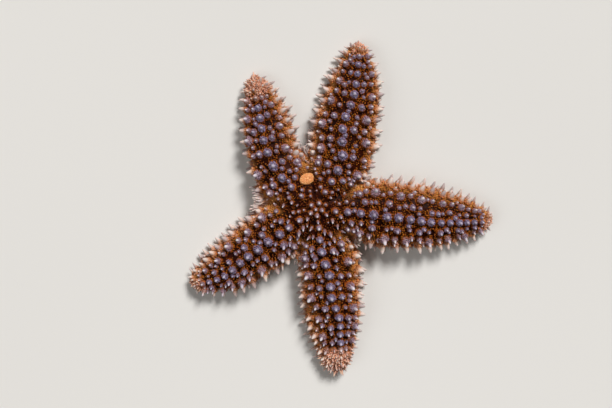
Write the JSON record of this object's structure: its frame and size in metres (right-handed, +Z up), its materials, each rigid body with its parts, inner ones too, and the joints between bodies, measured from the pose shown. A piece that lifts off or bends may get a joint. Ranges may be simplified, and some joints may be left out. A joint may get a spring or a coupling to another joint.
{
  "type": "sea star",
  "caption": "Still, life-size sea star resting on its mouth side, its arms spread and bent, with knobbed spines, a bare sieve plate and grooves of tube feet underneath.",
  "frame": {"origin": "under the middle of the whole body's box, on the level of the flat soles that it rests on", "axes": "+Z up, out of the back; +X along the longest straight arm; +Y to the side of the disc where the sieve plate lies"},
  "size_m": [0.0642, 0.0706, 0.0091],
  "materials": {
    "skin_and_spines": "matt, as damp limy skin set with knobs",
    "sieve_plate": "matt",
    "eyespot": "gloss"
  },
  "bodies": {
    "root": {"disc": "skin_and_spines", "arm_right": "skin_and_spines", "arm_top": "skin_and_spines", "arm_top_left": "skin_and_spines", "arm_bottom_left": "skin_and_spines", "arm_bottom": "skin_and_spines", "madreporite": "sieve_plate", "eyespot_right": "eyespot", "eyespot_top": "eyespot", "eyespot_top_left": "eyespot", "eyespot_bottom_left": "eyespot", "eyespot_bottom": "eyespot"}
  },
  "joints": []
}
